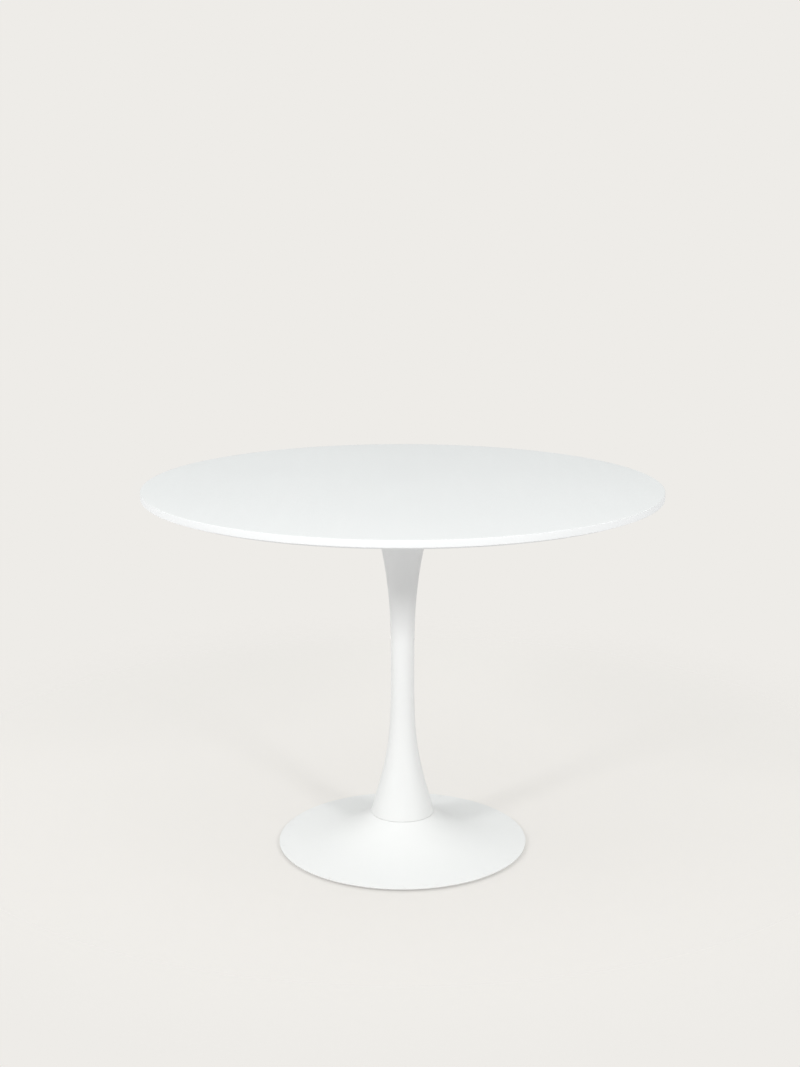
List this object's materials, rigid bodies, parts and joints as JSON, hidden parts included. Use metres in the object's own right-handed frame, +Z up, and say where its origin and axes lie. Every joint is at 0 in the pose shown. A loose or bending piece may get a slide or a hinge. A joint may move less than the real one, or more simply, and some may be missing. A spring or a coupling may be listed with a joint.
{
  "type": "round pedestal table",
  "caption": "Round pedestal dining table: slim white lacquered top on a waisted steel column and a round dished base with levelling glides.",
  "frame": {"origin": "on the floor, under the middle of the column and of the round top", "axes": "+Z up along the column's axis; -Y towards the viewer of the front view, +X to that viewer's right"},
  "size_m": [0.9999, 1, 0.73],
  "materials": {
    "white_lacquer": "satin white lacquer on fibreboard",
    "white_powder_coat": "fine satin white powder coat",
    "black_powder_coat": "matt black powder coat",
    "zinc_steel": "bright zinc plate",
    "plain_steel": "plain turned steel",
    "ballast_iron": "rough cast, primed",
    "ring_plastic": "soft grey-white ring",
    "pad_nylon": "moulded nylon"
  },
  "bodies": {
    "table": {"tabletop": "white_lacquer", "top_inserts": "zinc_steel", "top_plate": "white_powder_coat", "top_washers": "zinc_steel", "top_screws": "zinc_steel", "plate_hub": "plain_steel", "column_shell": "white_powder_coat", "column_head_disc": "plain_steel", "column_foot_disc": "plain_steel", "joint_ring": "ring_plastic", "tie_rod": "zinc_steel", "hub_lock_nut": "zinc_steel", "clamp_washer": "zinc_steel", "spring_washer": "zinc_steel", "rod_nut": "zinc_steel", "base_shell": "white_powder_coat", "base_weight": "ballast_iron", "bottom_plate": "black_powder_coat", "bottom_screws": "zinc_steel", "glide_bushes": "zinc_steel"},
    "pad_1": {"glide_pad_1": "pad_nylon"},
    "stem_1": {"glide_stem_1": "zinc_steel"},
    "pad_2": {"glide_pad_2": "pad_nylon"},
    "stem_2": {"glide_stem_2": "zinc_steel"},
    "pad_3": {"glide_pad_3": "pad_nylon"},
    "stem_3": {"glide_stem_3": "zinc_steel"},
    "pad_4": {"glide_pad_4": "pad_nylon"},
    "stem_4": {"glide_stem_4": "zinc_steel"}
  },
  "joints": [
    {"name": "glide_1_height", "type": "slide", "parent": "table", "child": "pad_1", "axis": [0, 0, -1], "range_m": [0, 0.005]},
    {"name": "glide_1_turn", "type": "hinge", "parent": "pad_1", "child": "stem_1", "pos_m": [0.1135, 0.1135, 0.004], "axis": [0, 0, -1], "range_deg": [0, 1440]},
    {"name": "glide_2_height", "type": "slide", "parent": "table", "child": "pad_2", "axis": [0, 0, -1], "range_m": [0, 0.005]},
    {"name": "glide_2_turn", "type": "hinge", "parent": "pad_2", "child": "stem_2", "pos_m": [-0.1135, 0.1135, 0.004], "axis": [0, 0, -1], "range_deg": [0, 1440]},
    {"name": "glide_3_height", "type": "slide", "parent": "table", "child": "pad_3", "axis": [0, 0, -1], "range_m": [0, 0.005]},
    {"name": "glide_3_turn", "type": "hinge", "parent": "pad_3", "child": "stem_3", "pos_m": [-0.1135, -0.1135, 0.004], "axis": [0, 0, -1], "range_deg": [0, 1440]},
    {"name": "glide_4_height", "type": "slide", "parent": "table", "child": "pad_4", "axis": [0, 0, -1], "range_m": [0, 0.005]},
    {"name": "glide_4_turn", "type": "hinge", "parent": "pad_4", "child": "stem_4", "pos_m": [0.1135, -0.1135, 0.004], "axis": [0, 0, -1], "range_deg": [0, 1440]}
  ],
  "couplings": [
    {"joint": "glide_1_turn", "follows": "glide_1_height", "rad_per_m": 5026.5},
    {"joint": "glide_2_turn", "follows": "glide_2_height", "rad_per_m": 5026.5},
    {"joint": "glide_3_turn", "follows": "glide_3_height", "rad_per_m": 5026.5},
    {"joint": "glide_4_turn", "follows": "glide_4_height", "rad_per_m": 5026.5}
  ]
}
